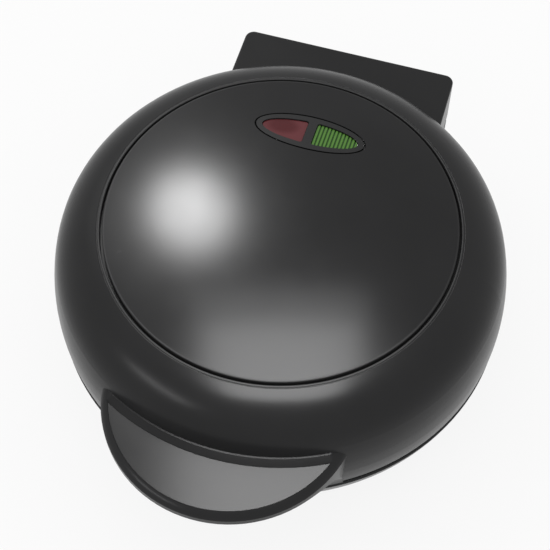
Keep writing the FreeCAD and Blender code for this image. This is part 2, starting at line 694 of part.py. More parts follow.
def donut_ring(place, tube_radius, below):
    """Half of a donut ring behind the face, carried on below it."""
    inner, outer = DONUT_RING_RADIUS - tube_radius, DONUT_RING_RADIUS + tube_radius
    crest = rz(DONUT_RING_RADIUS, tube_radius)
    edges = [Part.Arc(rz(inner, 0), crest, rz(outer, 0)).toShape()]
    edges += lines([rz(outer, 0), rz(outer, -below), rz(inner, -below), rz(inner, 0)] if below
                   else [rz(outer, 0), rz(inner, 0)])
    return turned(Part.__sortEdges__(edges)).translated(place)


def baking_plate():
    """A cast plate: donut cups, heater seat, centre pad, screw bosses and a skirt."""
    disc = cylinder(PLATE_RADIUS, ORIGIN, UP, PLATE_THICKNESS)
    skirt = tube(PLATE_RADIUS, PLATE_RADIUS - PLATE_SKIRT_WALL, ORIGIN, UP, PLATE_SKIRT_DEPTH)
    half_seat = HEATER_SEAT_WIDTH / 2
    heater_seat = tube(DONUT_PITCH + half_seat, DONUT_PITCH - half_seat, ORIGIN, UP, HEATER_DEPTH)
    pad = cylinder(CENTRE_PAD_RADIUS, ORIGIN, UP, PAD_DEPTH)
    bosses = [cylinder(PLATE_BOSS_RADIUS, place, UP, BOSS_DEPTH) for place in post_places()]
    cups = [donut_ring(place, BUMP_RADIUS, 0) for place in donut_places()]
    solid = disc.fuse([skirt, heater_seat, pad] + bosses + cups)
    cuts = [donut_ring(place, DONUT_TUBE_RADIUS, CUT) for place in donut_places()]
    cuts.append(heater(HEATER_RADIUS + RUNNING_CLEARANCE))
    cuts.append(Part.makeTorus(PLATE_RADIUS - DRIP_GROOVE_INSET, DRIP_GROOVE_RADIUS))
    screw_end = SCREW_SEAT - SCREW_LENGTH - CUT
    cuts += [cylinder(SCREW_RADIUS + THREAD_CLEARANCE, place + UP * screw_end, UP, BOSS_DEPTH)
             for place in post_places()]
    cuts += [small_hole(place, DOWN) for place in ear_places()]
    return solid.cut(cuts).removeSplitter()


def heater_leg():
    """The foot of the heater's right leg, where its end seal starts."""
    turn = math.radians(90 - HEATER_GAP_ANGLE / 2)
    offset = math.cos(turn) * (DONUT_PITCH + HEATER_BEND_RADIUS) - HEATER_BEND_RADIUS
    reach = math.sqrt((REFLECTOR_RADIUS - TERMINAL_INSET) ** 2 - offset ** 2)
    return Vector(offset, reach - SEAL_LENGTH - TERMINAL_LENGTH / 2, HEATER_DEPTH)


def heater(radius):
    """A horseshoe of round element with two parallel legs to the rear."""
    turn = math.radians(90 - HEATER_GAP_ANGLE / 2)
    spoke = Vector(math.cos(turn), math.sin(turn), 0)
    level = UP * HEATER_DEPTH
    end = spoke * DONUT_PITCH + level
    centre = spoke * (DONUT_PITCH + HEATER_BEND_RADIUS) + level
    leg_end = heater_leg()
    leg_start = Vector(leg_end.x, centre.y, HEATER_DEPTH)
    bend_mid = centre - (spoke + ALONG_X).normalize() * HEATER_BEND_RADIUS

    def other(point):
        return Vector(-point.x, point.y, point.z)
    front = Vector(0, -DONUT_PITCH, HEATER_DEPTH)
    edges = [Part.makeLine(leg_end, leg_start), Part.Arc(leg_start, bend_mid, end).toShape(),
             Part.Arc(end, front, other(end)).toShape(),
             Part.Arc(other(end), other(bend_mid), other(leg_start)).toShape(),
             Part.makeLine(other(leg_start), other(leg_end))]
    ring = Part.Wire(Part.makeCircle(radius, leg_end, ALONG_Y))
    return Part.Wire(edges).makePipeShell([ring], True, False)


def heater_ends(make):
    """A pair of pieces at the heater's two leg ends."""
    leg = heater_leg()
    return Part.makeCompound([make(Vector(side * leg.x, leg.y, leg.z)) for side in (-1, 1)])


def seal(start):
    """A ceramic end seal."""
    return tube(SEAL_RADIUS, TERMINAL_RADIUS + RUNNING_CLEARANCE, start, ALONG_Y, SEAL_LENGTH)


def terminal(start):
    """A terminal pin that stands out of its end seal."""
    return cylinder(TERMINAL_RADIUS, start, ALONG_Y, SEAL_LENGTH + TERMINAL_LENGTH)


def terminal_place(side):
    """The middle of a terminal's free stretch, behind the face."""
    leg = heater_leg()
    return Vector(side * leg.x, leg.y + SEAL_LENGTH + TERMINAL_LENGTH / 2, leg.z)


def lead_landing(side):
    """Where a lead meets a terminal, close to its end seal."""
    place = terminal_place(side)
    return place + ALONG_Y * (LEAD_RADIUS + LEAD_END_GAP - TERMINAL_LENGTH / 2)


def reflector():
    """A sheet dish behind the heater, clamped between the plate's bosses and the shell's posts."""
    start = UP * BOSS_DEPTH
    solid = cylinder(REFLECTOR_RADIUS, start, UP, REFLECTOR_THICKNESS)
    flange = tube(REFLECTOR_RADIUS, REFLECTOR_RADIUS - REFLECTOR_THICKNESS, start, DOWN, REFLECTOR_FLANGE)
    cuts = [cylinder(REFLECTOR_CENTRE_HOLE, start, UP, REFLECTOR_THICKNESS)]
    cuts += [cylinder(SCREW_RADIUS + HOLE_CLEARANCE, place + start, UP, REFLECTOR_THICKNESS)
             for place in post_places()]
    for side in (-1, 1):
        place = terminal_place(side)
        cuts.append(cylinder(TERMINAL_HOLE_RADIUS, Vector(place.x, place.y, BOSS_DEPTH), UP,
                             REFLECTOR_THICKNESS))
    return solid.fuse(flange).cut(cuts).removeSplitter()


def plate_screws():
    """The screws that clamp a plate and its reflector to the shell's posts."""
    return Part.makeCompound([screw(SCREW_HEAD_RADIUS, SCREW_HEAD, SCREW_RADIUS, SCREW_LENGTH,
                                    place + UP * SCREW_SEAT, DOWN) for place in post_places()])


def ear_plate():
    """A flat strap on the centre pad with two screw holes."""
    half = Vector(EAR_LENGTH / 2, EAR_WIDTH / 2, 0)
    strap = block(UP * PAD_DEPTH - half, UP * (PAD_DEPTH + EAR_THICKNESS) + half)
    holes = [cylinder(SMALL_SCREW_RADIUS + HOLE_CLEARANCE, place, DOWN, EAR_THICKNESS)
             for place in ear_places()]
    return strap.cut(holes)


def thermostat():
    """A round thermostat with two tabs, held by its ears."""
    body = cylinder(THERMOSTAT_RADIUS, UP * PAD_DEPTH, UP, THERMOSTAT_HEIGHT)
    width, thickness, height = THERMOSTAT_TAB
    tabs = []
    for side in (-1, 1):
        low = Vector(side * THERMOSTAT_TAB_OFFSET - thickness / 2, -width / 2,
                     PAD_DEPTH + THERMOSTAT_HEIGHT)
        tabs.append(block(low, low + Vector(thickness, width, height)))
    return ear_plate().fuse([body] + tabs)


def thermal_fuse():
    """A cylindrical fuse with two legs, lying across the clip."""
    middle = UP * (PAD_DEPTH + FUSE_RADIUS)
    body = cylinder(FUSE_RADIUS, middle - ALONG_Y * (FUSE_LENGTH / 2), ALONG_Y, FUSE_LENGTH)
    reach = FUSE_LENGTH / 2 + FUSE_LEG
    return body.fuse(cylinder(FUSE_LEG_RADIUS, middle - ALONG_Y * reach, ALONG_Y, 2 * reach))


def fuse_clip():
    """A strap with an arch over the fuse."""
    middle = UP * (PAD_DEPTH + FUSE_RADIUS)
    room = FUSE_RADIUS + CLIP_CLEARANCE
    start = middle - ALONG_Y * (EAR_WIDTH / 2)
    arch = cylinder(room + EAR_THICKNESS, start, ALONG_Y, EAR_WIDTH)
    half = Vector(EAR_LENGTH / 2, EAR_WIDTH, 0)
    keep = block(UP * PAD_DEPTH - half, UP * (PAD_DEPTH + 2 * room + EAR_THICKNESS) + half)
    tunnel = cylinder(room, start, ALONG_Y, EAR_WIDTH)
    throat = block(UP * PAD_DEPTH - Vector(room, EAR_WIDTH, CUT), middle + Vector(room, EAR_WIDTH, 0))
    return ear_plate().fuse(arch.common(keep)).cut([tunnel, throat])


# Base shell

def bowl(inset):
    """The base's outer form as a solid, moved inwards by inset."""
    floor_edge = rz(BASE_RIM_RADIUS - BASE_FLOOR_INSET, Z_FLOOR + inset)
    rim = rz(BASE_RIM_RADIUS - inset, Z_BASE_RIM)
    tilt = math.radians(BASE_FLANK_TILT)
    edges = biarc(floor_edge, ALONG_X, rim, rz(math.sin(tilt), math.cos(tilt)), BASE_RATIO)
    edges += lines([rim, rz(0, rim.z), rz(0, floor_edge.z), floor_edge])
    return turned(Part.__sortEdges__(edges))


def knuckle():
    """The base's hinge knuckle, which stands between the lid's arms."""
    front, back = Vector(0, HINGE_Y - KNUCKLE_RADIUS, Z_HINGE), Vector(0, BOX_REAR, Z_HINGE)
    foot = Z_BASE_RIM - WALL
    edges = lines([front, Vector(0, front.y, foot), Vector(0, back.y, foot), back])
    edges.append(Part.Arc(back, Vector(0, HINGE_Y, Z_HINGE + KNUCKLE_RADIUS), front).toShape())
    return across(edges, KNUCKLE_WIDTH / 2)


def wiring_box_cuts():
    """The hollow of the rear box and the knuckle, with the cover's seat and the ways of leads and gland."""
    half = HINGE_BLOCK_WIDTH / 2 - WALL
    inner_rear = BOX_REAR - WALL
    hollow = block(Vector(-half, BOX_FRONT, Z_FLOOR + BOX_FLOOR),
                   Vector(half, inner_rear, Z_BASE_RIM - WALL))
    well_half = KNUCKLE_WIDTH / 2 - KNUCKLE_END_WALL
    well_top = Z_HINGE + LEAD_RADIUS + LEAD_HOLE_CLEARANCE
    well = block(Vector(-well_half, HINGE_Y - KNUCKLE_RADIUS + WALL, Z_BASE_RIM - WALL - CUT),
                 Vector(well_half, inner_rear, well_top))
    pin_hole = cylinder(HINGE_PIN_RADIUS + RUNNING_CLEARANCE,
                        Vector(-KNUCKLE_WIDTH / 2 - CUT, HINGE_Y, Z_HINGE),
                        ALONG_X, KNUCKLE_END_WALL + 2 * CUT)
    bush_hole = cylinder(BUSH_RADIUS + RUNNING_CLEARANCE, Vector(well_half - CUT, HINGE_Y, Z_HINGE),
                         ALONG_X, KNUCKLE_END_WALL + 2 * CUT)
    seat = Vector(COVER_WIDTH / 2 + COVER_CLEARANCE, COVER_LENGTH / 2 + COVER_CLEARANCE, 0)
    mouth = Vector(COVER_WIDTH / 2 - COVER_LEDGE, COVER_LENGTH / 2 - COVER_LIP, 0)
    middle = Vector(0, COVER_Y, Z_FLOOR)
    cover_seat = block(middle - seat - UP * CUT, middle + seat + UP * COVER_THICKNESS)
    cover_mouth = block(middle - mouth, middle + mouth + UP * (BOX_FLOOR + CUT))
    way = LEAD_RADIUS + LEAD_HOLE_CLEARANCE
    reach = terminal_place(1).x + way
    lead_window = block(Vector(-reach, BASE_RIM_RADIUS - BASE_FLOOR_INSET, Z_BASE_LEAD - way),
                        Vector(reach, BOX_FRONT + CUT, Z_BASE_LEAD + way))
    gland_hole = cylinder(GLAND_NECK + THREAD_CLEARANCE,
                          Vector(GLAND_OFFSET, inner_rear - CUT, GLAND_HEIGHT), ALONG_Y, WALL + 2 * CUT)
    screws = [small_hole(place, UP) for place in cover_screw_places()]
    return [hollow, well, pin_hole, bush_hole, cover_seat, cover_mouth, lead_window, gland_hole] + screws


def base_shell():
    """The bowl with the rear wiring box, the hinge knuckle and the posts under the plate."""
    outer = rounded(bowl(0), RIM_ROUND, is_ring(BASE_RIM_RADIUS, Z_BASE_RIM))
    box = rear_block(BOX_REAR, Z_FLOOR, Z_BASE_RIM)
    hollow = bowl(WALL).fuse(cylinder(BASE_RIM_RADIUS - WALL, rz(0, Z_BASE_RIM), UP, CUT))
    shell = outer.fuse([box, knuckle()]).cut([hollow] + wiring_box_cuts())
    z_post = Z_LOWER_FACE - REFLECTOR_BACK
    z_seat = Z_LOWER_FACE - SCREW_SEAT
    z_root = Z_FLOOR + WALL / 2
    posts = [cylinder(POST_RADIUS, place + UP * z_root, UP, z_post - z_root) for place in post_places()]
    bores = []
    for place in post_places():
        bores.append(cylinder(COUNTERBORE_RADIUS, place + UP * (Z_FLOOR - CUT), UP, z_seat - Z_FLOOR + CUT))
        bores.append(cylinder(SCREW_RADIUS + HOLE_CLEARANCE, place + UP * z_seat, UP, POST_SEAT + CUT))
    bores += [cylinder(FOOT_STEM_RADIUS + FOOT_STEM_CLEARANCE, place, UP, Z_FLOOR + floor + CUT)
              for place, floor in foot_places().values()]
    return shell.fuse(posts).cut(bores).removeSplitter()


def cover_screw_places():
    """The seats of the wiring cover's screws."""
    return [Vector(side * (COVER_WIDTH - COVER_LEDGE) / 2, COVER_Y, Z_FLOOR) for side in (-1, 1)]


def wiring_cover():
    """The plate that closes the rear box from below."""
    half = Vector(COVER_WIDTH / 2, COVER_LENGTH / 2, 0)
    middle = Vector(0, COVER_Y, Z_FLOOR)
    plate = block(middle - half, middle + half + UP * COVER_THICKNESS)
    holes = [cylinder(SMALL_SCREW_RADIUS + HOLE_CLEARANCE, place, UP, COVER_THICKNESS)
             for place in cover_screw_places()]
    return plate.cut(holes)


def terminal_ways():
    """The seats of the terminal screws, in a row."""
    first = -(TERMINAL_BLOCK_WAYS - 1) / 2
    pitch = TERMINAL_BLOCK_WIDTH / TERMINAL_BLOCK_WAYS
    row = COVER_Y - TERMINAL_BLOCK_LENGTH / 4
    seat = Z_TERMINAL_TOP - TERMINAL_WELL_DEPTH
    return [Vector((first + index) * pitch, row, seat) for index in range(TERMINAL_BLOCK_WAYS)]


def terminal_block():
    """The block of screw terminals that stands on the wiring cover."""
    half = Vector(TERMINAL_BLOCK_WIDTH / 2, TERMINAL_BLOCK_LENGTH / 2, 0)
    low = Vector(0, COVER_Y, Z_FLOOR + COVER_THICKNESS)
    solid = block(low - half, low + half + UP * TERMINAL_BLOCK_HEIGHT)
    wells = [cylinder(SMALL_SCREW_HEAD_RADIUS + HOLE_CLEARANCE, way, UP, TERMINAL_WELL_DEPTH)
             for way in terminal_ways()]
    return solid.cut(wells + [small_hole(way, DOWN) for way in terminal_ways()])


def cord_gland():
    """The bush in the rear wall through which the supply lead enters."""
    wall_in = Vector(GLAND_OFFSET, BOX_REAR - WALL, GLAND_HEIGHT)
    wall_out = Vector(GLAND_OFFSET, BOX_REAR, GLAND_HEIGHT)
    flange = GLAND_NECK + GLAND_FLANGE
    solid = cylinder(GLAND_NECK, wall_in - ALONG_Y * GLAND_TAIL, ALONG_Y, GLAND_TAIL + WALL)
    solid = solid.fuse([cylinder(flange, wall_out, ALONG_Y, GLAND_FLANGE_THICKNESS),
                        cylinder(flange, wall_in, ALONG_Y * -1, GLAND_FLANGE_THICKNESS)])
    whole = GLAND_TAIL + WALL + GLAND_FLANGE_THICKNESS
    return solid.cut(cylinder(GLAND_BORE, wall_in - ALONG_Y * GLAND_TAIL, ALONG_Y, whole)).removeSplitter()


def foot_places():
    """Each foot's place on the table and the thickness of the floor that it grips."""
    places = {}
    for name, side in (("left", -1), ("right", 1)):
        places["front_" + name] = (Vector(side * FRONT_FOOT[0], FRONT_FOOT[1], 0), WALL)
        rear = Vector(side * REAR_FOOT_OFFSET, BOX_REAR - REAR_FOOT_INSET, 0)
        places["rear_" + name] = (rear, BOX_FLOOR)
    return places


def rubber_foot(place, floor):
    """A rubber foot with a stem through the floor and a cap that holds it."""
    pad = Part.makeCone(FOOT_TIP_RADIUS, FOOT_RADIUS, FOOT_HEIGHT, place, UP)
    stem = cylinder(FOOT_STEM_RADIUS, place + UP * FOOT_HEIGHT, UP, floor)
    cap = cylinder(FOOT_CAP_RADIUS, place + UP * (FOOT_HEIGHT + floor), UP, FOOT_CAP)
    return pad.fuse([stem, cap]).removeSplitter()


# Hinge pieces and leads

def hinge_pin():
    """The left pivot: fixed in the lid's arm, it turns in the knuckle."""
    outer = KNUCKLE_WIDTH / 2 + KNUCKLE_CLEARANCE + HINGE_CHEEK
    head = Vector(-outer, HINGE_Y, Z_HINGE)
    length = outer - KNUCKLE_WIDTH / 2 + KNUCKLE_END_WALL
    shank = cylinder(HINGE_PIN_RADIUS, head, ALONG_X, length)
    return shank.fuse(cylinder(HINGE_PIN_HEAD_RADIUS, head, ALONG_X * -1, HINGE_PIN_HEAD))


def bush_end():
    """How far the hollow pivot reaches to the right."""
    return KNUCKLE_WIDTH / 2 + KNUCKLE_CLEARANCE + HINGE_CHEEK + KNUCKLE_CLEARANCE + HINGE_PIN_HEAD


def pivot_bush():
    """The right pivot: fixed in the knuckle and hollow, it lets the lead through into the lid."""
    start = KNUCKLE_WIDTH / 2 - KNUCKLE_END_WALL
    first = Vector(start, HINGE_Y, Z_HINGE)
    last = Vector(bush_end(), HINGE_Y, Z_HINGE)
    solid = cylinder(BUSH_RADIUS, first, ALONG_X, bush_end() - start)
    solid = solid.fuse(cylinder(BUSH_COLLAR_RADIUS, last, ALONG_X * -1, HINGE_PIN_HEAD))
    return solid.cut(cylinder(BUSH_RADIUS - BUSH_WALL, first, ALONG_X, bush_end() - start))


def hinge_lead():
    """The lead from the terminal block up the knuckle and out along the hinge axis."""
    corner = Vector(HINGE_LEAD_OFFSET, HINGE_Y, Z_HINGE)
    start = Vector(corner.x, corner.y, Z_TERMINAL_TOP + LEAD_END_GAP)
    return lead([start, corner, Vector(bush_end(), HINGE_Y, Z_HINGE)], LEAD_RADIUS, LEAD_BEND)


def lid_lead():
    """The lead from the hinge axis through the lid to the right heater terminal."""
    pin = lead_landing(1)
    z_end = Z_UPPER_FACE + pin.z + TERMINAL_RADIUS + LEAD_END_GAP
    points = [Vector(bush_end() + LEAD_END_GAP, HINGE_Y, Z_HINGE), Vector(LID_LEAD_OFFSET, HINGE_Y, Z_HINGE),
              Vector(LID_LEAD_OFFSET, HINGE_Y, Z_LID_LEAD), Vector(LID_LEAD_OFFSET, pin.y, Z_LID_LEAD),
              Vector(pin.x, pin.y, Z_LID_LEAD), Vector(pin.x, pin.y, z_end)]
    return lead(points, LEAD_RADIUS, LEAD_BEND)


def lamp_lead(side):
    """A thin lead from a heater terminal to a lamp."""
    pin = terminal_place(side)
    lamp_foot = lamp_place(side) - UP * (LAMP_LENGTH + LENS_CLEARANCE + LEAD_END_GAP)
    pin_end = pin.y + TERMINAL_LENGTH / 2 - THIN_LEAD_RADIUS
    z_end = Z_UPPER_FACE + pin.z + TERMINAL_RADIUS + LEAD_END_GAP
    z_run = lamp_foot.z - 2 * LEAD_BEND
    points = [Vector(pin.x, pin_end, z_end), Vector(pin.x, pin_end, z_run),
              Vector(lamp_foot.x, lamp_foot.y, z_run), lamp_foot]
    return lead(points, THIN_LEAD_RADIUS, LEAD_BEND)


def base_lead(side):
    """A lead from the terminal block to a terminal of the lower heater."""
    pin = lead_landing(side)
    start = Vector(pin.x, COVER_Y - TERMINAL_BLOCK_LENGTH / 2 - LEAD_END_GAP, Z_BASE_LEAD)
    z_end = Z_LOWER_FACE - pin.z - TERMINAL_RADIUS - LEAD_END_GAP
    corner = Vector(pin.x, pin.y, Z_BASE_LEAD)
    return lead([start, corner, Vector(pin.x, pin.y, z_end)], LEAD_RADIUS, LEAD_BEND)


def pair(make):
    """A left and a right piece in one group."""
    return Part.makeCompound([make(-1), make(1)])


def pieces():
    """Every node with its shape."""
    plate, element, dish = baking_plate(), heater(HEATER_RADIUS), reflector()
    seals, pins, screws = heater_ends(seal), heater_ends(terminal), plate_screws()
    found = {"lid_shell": lid_shell(), "top_panel": top_panel(), "indicator_bezel": indicator_bezel(),
             "red_lens": lens(-1), "green_lens": ribbed_lens(1), "lamp_holder": lamp_holder(),
             "lamp_holder_screw": small_screw(Vector(0, BEZEL_SETBACK, Z_BEZEL - SMALL_SCREW_HEAD), UP),
             "red_lamp": lamp(-1), "green_lamp": lamp(1)}
    for half, place in (("upper", upper), ("lower", lower)):
        found.update({half + "_plate": place(plate), half + "_heater": place(element),
                      half + "_heater_seals": place(seals), half + "_heater_terminals": place(pins),
                      half + "_reflector": place(dish), half + "_plate_screws": place(screws)})
    found.update({"thermal_fuse": upper(thermal_fuse()), "fuse_clip": upper(fuse_clip()),
                  "fuse_clip_screws": upper(small_screws(ear_places(), DOWN)),
                  "thermostat": lower(thermostat()),
                  "thermostat_screws": lower(small_screws(ear_places(), DOWN))})
    found.update({"base_shell": base_shell(), "wiring_cover": wiring_cover(),
                  "cover_screws": small_screws(cover_screw_places(), UP),
                  "terminal_block": terminal_block(),
                  "terminal_screws": small_screws(terminal_ways(), DOWN), "cord_gland": cord_gland()})
    for name, (place, floor) in foot_places().items():
        found[name + "_foot"] = rubber_foot(place, floor)
    found.update({"hinge_pin": hinge_pin(), "pivot_bush": pivot_bush(), "hinge_lead": hinge_lead(),
                  "lid_lead": lid_lead(), "lamp_leads": pair(lamp_lead), "base_leads": pair(base_lead)})
    return found


os.makedirs("parts", exist_ok=True)
for node, shape in pieces().items():
    state = "valid" if shape.isValid() else "broken"
    print(node, len(shape.Solids), "solids", round(shape.Volume), "mm3", state)
    shape.translated(BODY_SHIFT).exportStep("parts/" + node + ".step")
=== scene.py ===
"""Looks of a round donut maker: finishes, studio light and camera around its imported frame.

Everything is in metres in the part's own frame: the handle points to -Y, the hinge lies at +Y and
the table is at height 0.
"""

import logging
import math
from collections.abc import Mapping
from dataclasses import dataclass, replace
from enum import Enum
from typing import Any

import bpy
import numpy as np
from mathutils import Matrix, Vector


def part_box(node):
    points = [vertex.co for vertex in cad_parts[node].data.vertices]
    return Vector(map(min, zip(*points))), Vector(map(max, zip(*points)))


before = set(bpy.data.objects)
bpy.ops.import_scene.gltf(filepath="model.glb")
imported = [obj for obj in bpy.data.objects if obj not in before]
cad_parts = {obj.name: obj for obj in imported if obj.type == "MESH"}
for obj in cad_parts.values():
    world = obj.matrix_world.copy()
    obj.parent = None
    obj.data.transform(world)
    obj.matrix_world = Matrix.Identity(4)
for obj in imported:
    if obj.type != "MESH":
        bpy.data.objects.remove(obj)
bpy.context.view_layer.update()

LOG = logging.getLogger("donut_maker")
MILLIMETRE = 0.001

Rgb = tuple[float, float, float]
Triple = tuple[float, float, float]
Span = tuple[float, float]

WHITE: Rgb = (1.0, 1.0, 1.0)
OPAQUE = 1.0
NOISE_MIDDLE = 0.5

# Times a vector, it keeps what runs along the table and drops the height.
ALONG_TABLE: Triple = (1.0, 1.0, 0.0)

# Sockets of Blender's Mix node, by index, when it mixes colours.
MIX_FACTOR, MIX_FIRST, MIX_SECOND, MIX_RESULT = 0, 6, 7, 2

# The photograph's frame and the focal length that was fitted to it, in its pixels.
PHOTO_WIDTH = 550
PHOTO_FOCAL_LENGTH = 1400
CAMERA_AZIMUTH = math.radians(16.54)


class Half(Enum):
    """The two halves that carry a baking plate."""

    UPPER = "upper"
    LOWER = "lower"


class Metal(Enum):
    """The bare metals of the part, each with its reflected colour."""

    STEEL = (0.52, 0.52, 0.53)
    ZINC = (0.60, 0.61, 0.63)
    BRASS = (0.66, 0.47, 0.20)
    ALUMINIUM = (0.74, 0.74, 0.75)


class Signal:
    """A shader socket that takes part in Python arithmetic."""

    def __init__(self, graph: "Graph", socket: bpy.types.NodeSocket) -> None:
        """Keeps the socket and the graph it belongs to."""
        self.graph = graph
        self.socket = socket

    def _math(self, operation: str, first: Any, second: Any) -> "Signal":
        """Adds one Math node."""
        return self.graph.node("ShaderNodeMath", {"operation": operation}, {0: first, 1: second})

    def __add__(self, other: Any) -> "Signal":
        """Signal plus other."""
        return self._math("ADD", self, other)

    def __radd__(self, other: Any) -> "Signal":
        """Other plus signal."""
        return self._math("ADD", other, self)

    def __sub__(self, other: Any) -> "Signal":
        """Signal minus other."""
        return self._math("SUBTRACT", self, other)

    def __rsub__(self, other: Any) -> "Signal":
        """Other minus signal."""
        return self._math("SUBTRACT", other, self)

    def __mul__(self, other: Any) -> "Signal":
        """Signal times other."""
        return self._math("MULTIPLY", self, other)

    def __rmul__(self, other: Any) -> "Signal":
        """Other times signal."""
        return self._math("MULTIPLY", other, self)

    def __truediv__(self, other: Any) -> "Signal":
        """Signal divided by other."""
        return self._math("DIVIDE", self, other)

    def __rtruediv__(self, other: Any) -> "Signal":
        """Other divided by signal."""
        return self._math("DIVIDE", other, self)

    def at_least(self, other: Any) -> "Signal":
        """The larger of the signal and other."""
        return self._math("MAXIMUM", self, other)

    def folded(self, half: float) -> "Signal":
        """The distance to the nearest multiple of twice the half width."""
        return self._math("PINGPONG", self, half)

    def swing(self, amount: float) -> "Signal":
        """The signal taken about the middle of noise and scaled by an amount."""
        return (self - NOISE_MIDDLE) * amount

    def above(self, low: float, high: float) -> "Signal":
        """A smooth mask that is 0 up to low and 1 from high on."""
        sockets = {"Value": self, "From Min": low, "From Max": high}
        return self.graph.node("ShaderNodeMapRange", {"interpolation_type": "SMOOTHSTEP"}, sockets)


class Graph:
    """A node tree and the one way in which nodes are added to it."""

    def __init__(self, tree: bpy.types.NodeTree) -> None:
        """Starts from an empty tree."""
        self.tree = tree
        tree.nodes.clear()

    def node(self, kind: str, settings: Mapping[str, Any] | None = None,
             sockets: Mapping[str | int, Any] | None = None, output: str | int = 0) -> Signal:
        """Adds a node of any kind.

        Args:
            kind: Blender's name of the node type.
            settings: Attributes of the node, set before its sockets.
            sockets: Values or signals by socket name or index.
            output: The output that is returned.

        Returns:
            The chosen output as a signal, or the first input of a node without outputs.
        """
        made = self.tree.nodes.new(kind)
        for name, value in (settings or {}).items():
            setattr(made, name, value)
        for key, value in (sockets or {}).items():
            self.feed(made.inputs[key], value)
        return Signal(self, made.outputs[output] if made.outputs else made.inputs[0])

    def feed(self, socket: bpy.types.NodeSocket, value: Any) -> None:
        """Links a signal to a socket, or sets a plain value on it.

        Args:
            socket: The input socket.
            value: A signal, a number, a vector or a colour.
        """
        if isinstance(value, Signal):
            self.tree.links.new(value.socket, socket)
        elif socket.type == "RGBA":
            socket.default_value = (*value, OPAQUE)
        else:
            socket.default_value = value

    def place(self) -> Signal:
        """The point on the piece, in metres, which stays put as the piece moves."""
        return self.node("ShaderNodeTexCoord", output="Object")

    def vector(self, operation: str, first: Any, second: Any) -> Signal:
        """Adds one Vector Math node that gives a vector."""
        return self.node("ShaderNodeVectorMath", {"operation": operation}, {0: first, 1: second})

    def length(self, vector: Signal) -> Signal:
        """The length of a vector."""
        settings = {"operation": "LENGTH"}
        return self.node("ShaderNodeVectorMath", settings, {0: vector}, output="Value")

    def stretched(self, scale: Triple) -> Signal:
        """The point on the piece, scaled along X, Y and Z."""
        return self.vector("MULTIPLY", self.place(), scale)

    def noise(self, cell: float, detail: float = 2.0, at: Signal | None = None) -> Signal:
        """Smooth noise about 0.5 with cells of a size, read on the piece or at another point."""
        sockets = {"Vector": at or self.place(), "Scale": 1.0 / cell, "Detail": detail}
        return self.node("ShaderNodeTexNoise", sockets=sockets)

    def specks(self, cell: float) -> Signal:
        """The distance, in cells, to the nearest of scattered points a cell apart."""
        sockets = {"Vector": self.place(), "Scale": 1.0 / cell}
        return self.node("ShaderNodeTexVoronoi", sockets=sockets)

    def mix(self, factor: Any, first: Any, second: Any) -> Signal:
        """A colour that goes from the first to the second as the factor goes from 0 to 1."""
        sockets = {MIX_FACTOR: factor, MIX_FIRST: first, MIX_SECOND: second}
        return self.node("ShaderNodeMix", {"data_type": "RGBA"}, sockets, output=MIX_RESULT)

    def bump(self, height: Signal, depth: float, strength: float) -> Signal:
        """The normal of a height from 0 to 1, where depth is what 1 stands for in metres."""
        sockets = {"Height": height, "Distance": depth, "Strength": strength}
        return self.node("ShaderNodeBump", sockets=sockets)

    def surface(self, shader: Signal) -> None:
        """Puts a shader on the output."""
        self.node("ShaderNodeOutputMaterial", sockets={"Surface": shader})


def shade(colour: Rgb, factor: float) -> Rgb:
    """A lighter or darker copy of a colour."""
    return (colour[0] * factor, colour[1] * factor, colour[2] * factor)


@dataclass(frozen=True)
class Relief:
    """Fine relief: the size of its cells, its depth in metres and how much of it shows."""

    cell: float
    depth: float
    strength: float
    detail: float = 1.0

    def height(self, graph: Graph) -> Signal:
        """The height of the relief, from 0 to 1."""
        return graph.noise(self.cell, self.detail)

    def normal(self, height: Signal) -> Signal:
        """The normal that the height gives."""
        return height.graph.bump(height, self.depth, self.strength)


@dataclass(frozen=True)
class MattRing:
    """A narrow ring along a round edge, about an upright axis, that the mould leaves matt."""

    axis: tuple[float, float]
    inner: float
    outer: float
    fade: float = 0.3 * MILLIMETRE
    added_roughness: float = 0.3

    def roughness(self, graph: Graph) -> Signal:
        """What the ring adds to the roughness.

        Args:
            graph: The graph that the nodes go into.

        Returns:
            The added roughness, which is 0 off the ring.
        """
        offset = graph.vector("SUBTRACT", graph.place(), (*self.axis, 0.0))
        radius = graph.length(graph.vector("MULTIPLY", offset, ALONG_TABLE))
        past_inner = radius.above(self.inner - self.fade, self.inner)
        past_outer = radius.above(self.outer, self.outer + self.fade)
        return past_inner * (1 - past_outer) * self.added_roughness


@dataclass(frozen=True)
class Finish:
    """A surface finish: one Principled shader with its varying inputs."""

    name: str

    def inputs(self, graph: Graph) -> dict[str, Any]:
        """What the finish feeds to the shader, by the shader's socket names."""
        raise NotImplementedError

    def material(self) -> bpy.types.Material:
        """Builds the material.

        Returns:
            The new material.
        """
        made = bpy.data.materials.new(self.name)
        made.use_nodes = True
        graph = Graph(made.node_tree)
        graph.surface(graph.node("ShaderNodeBsdfPrincipled", sockets=self.inputs(graph)))
        return made


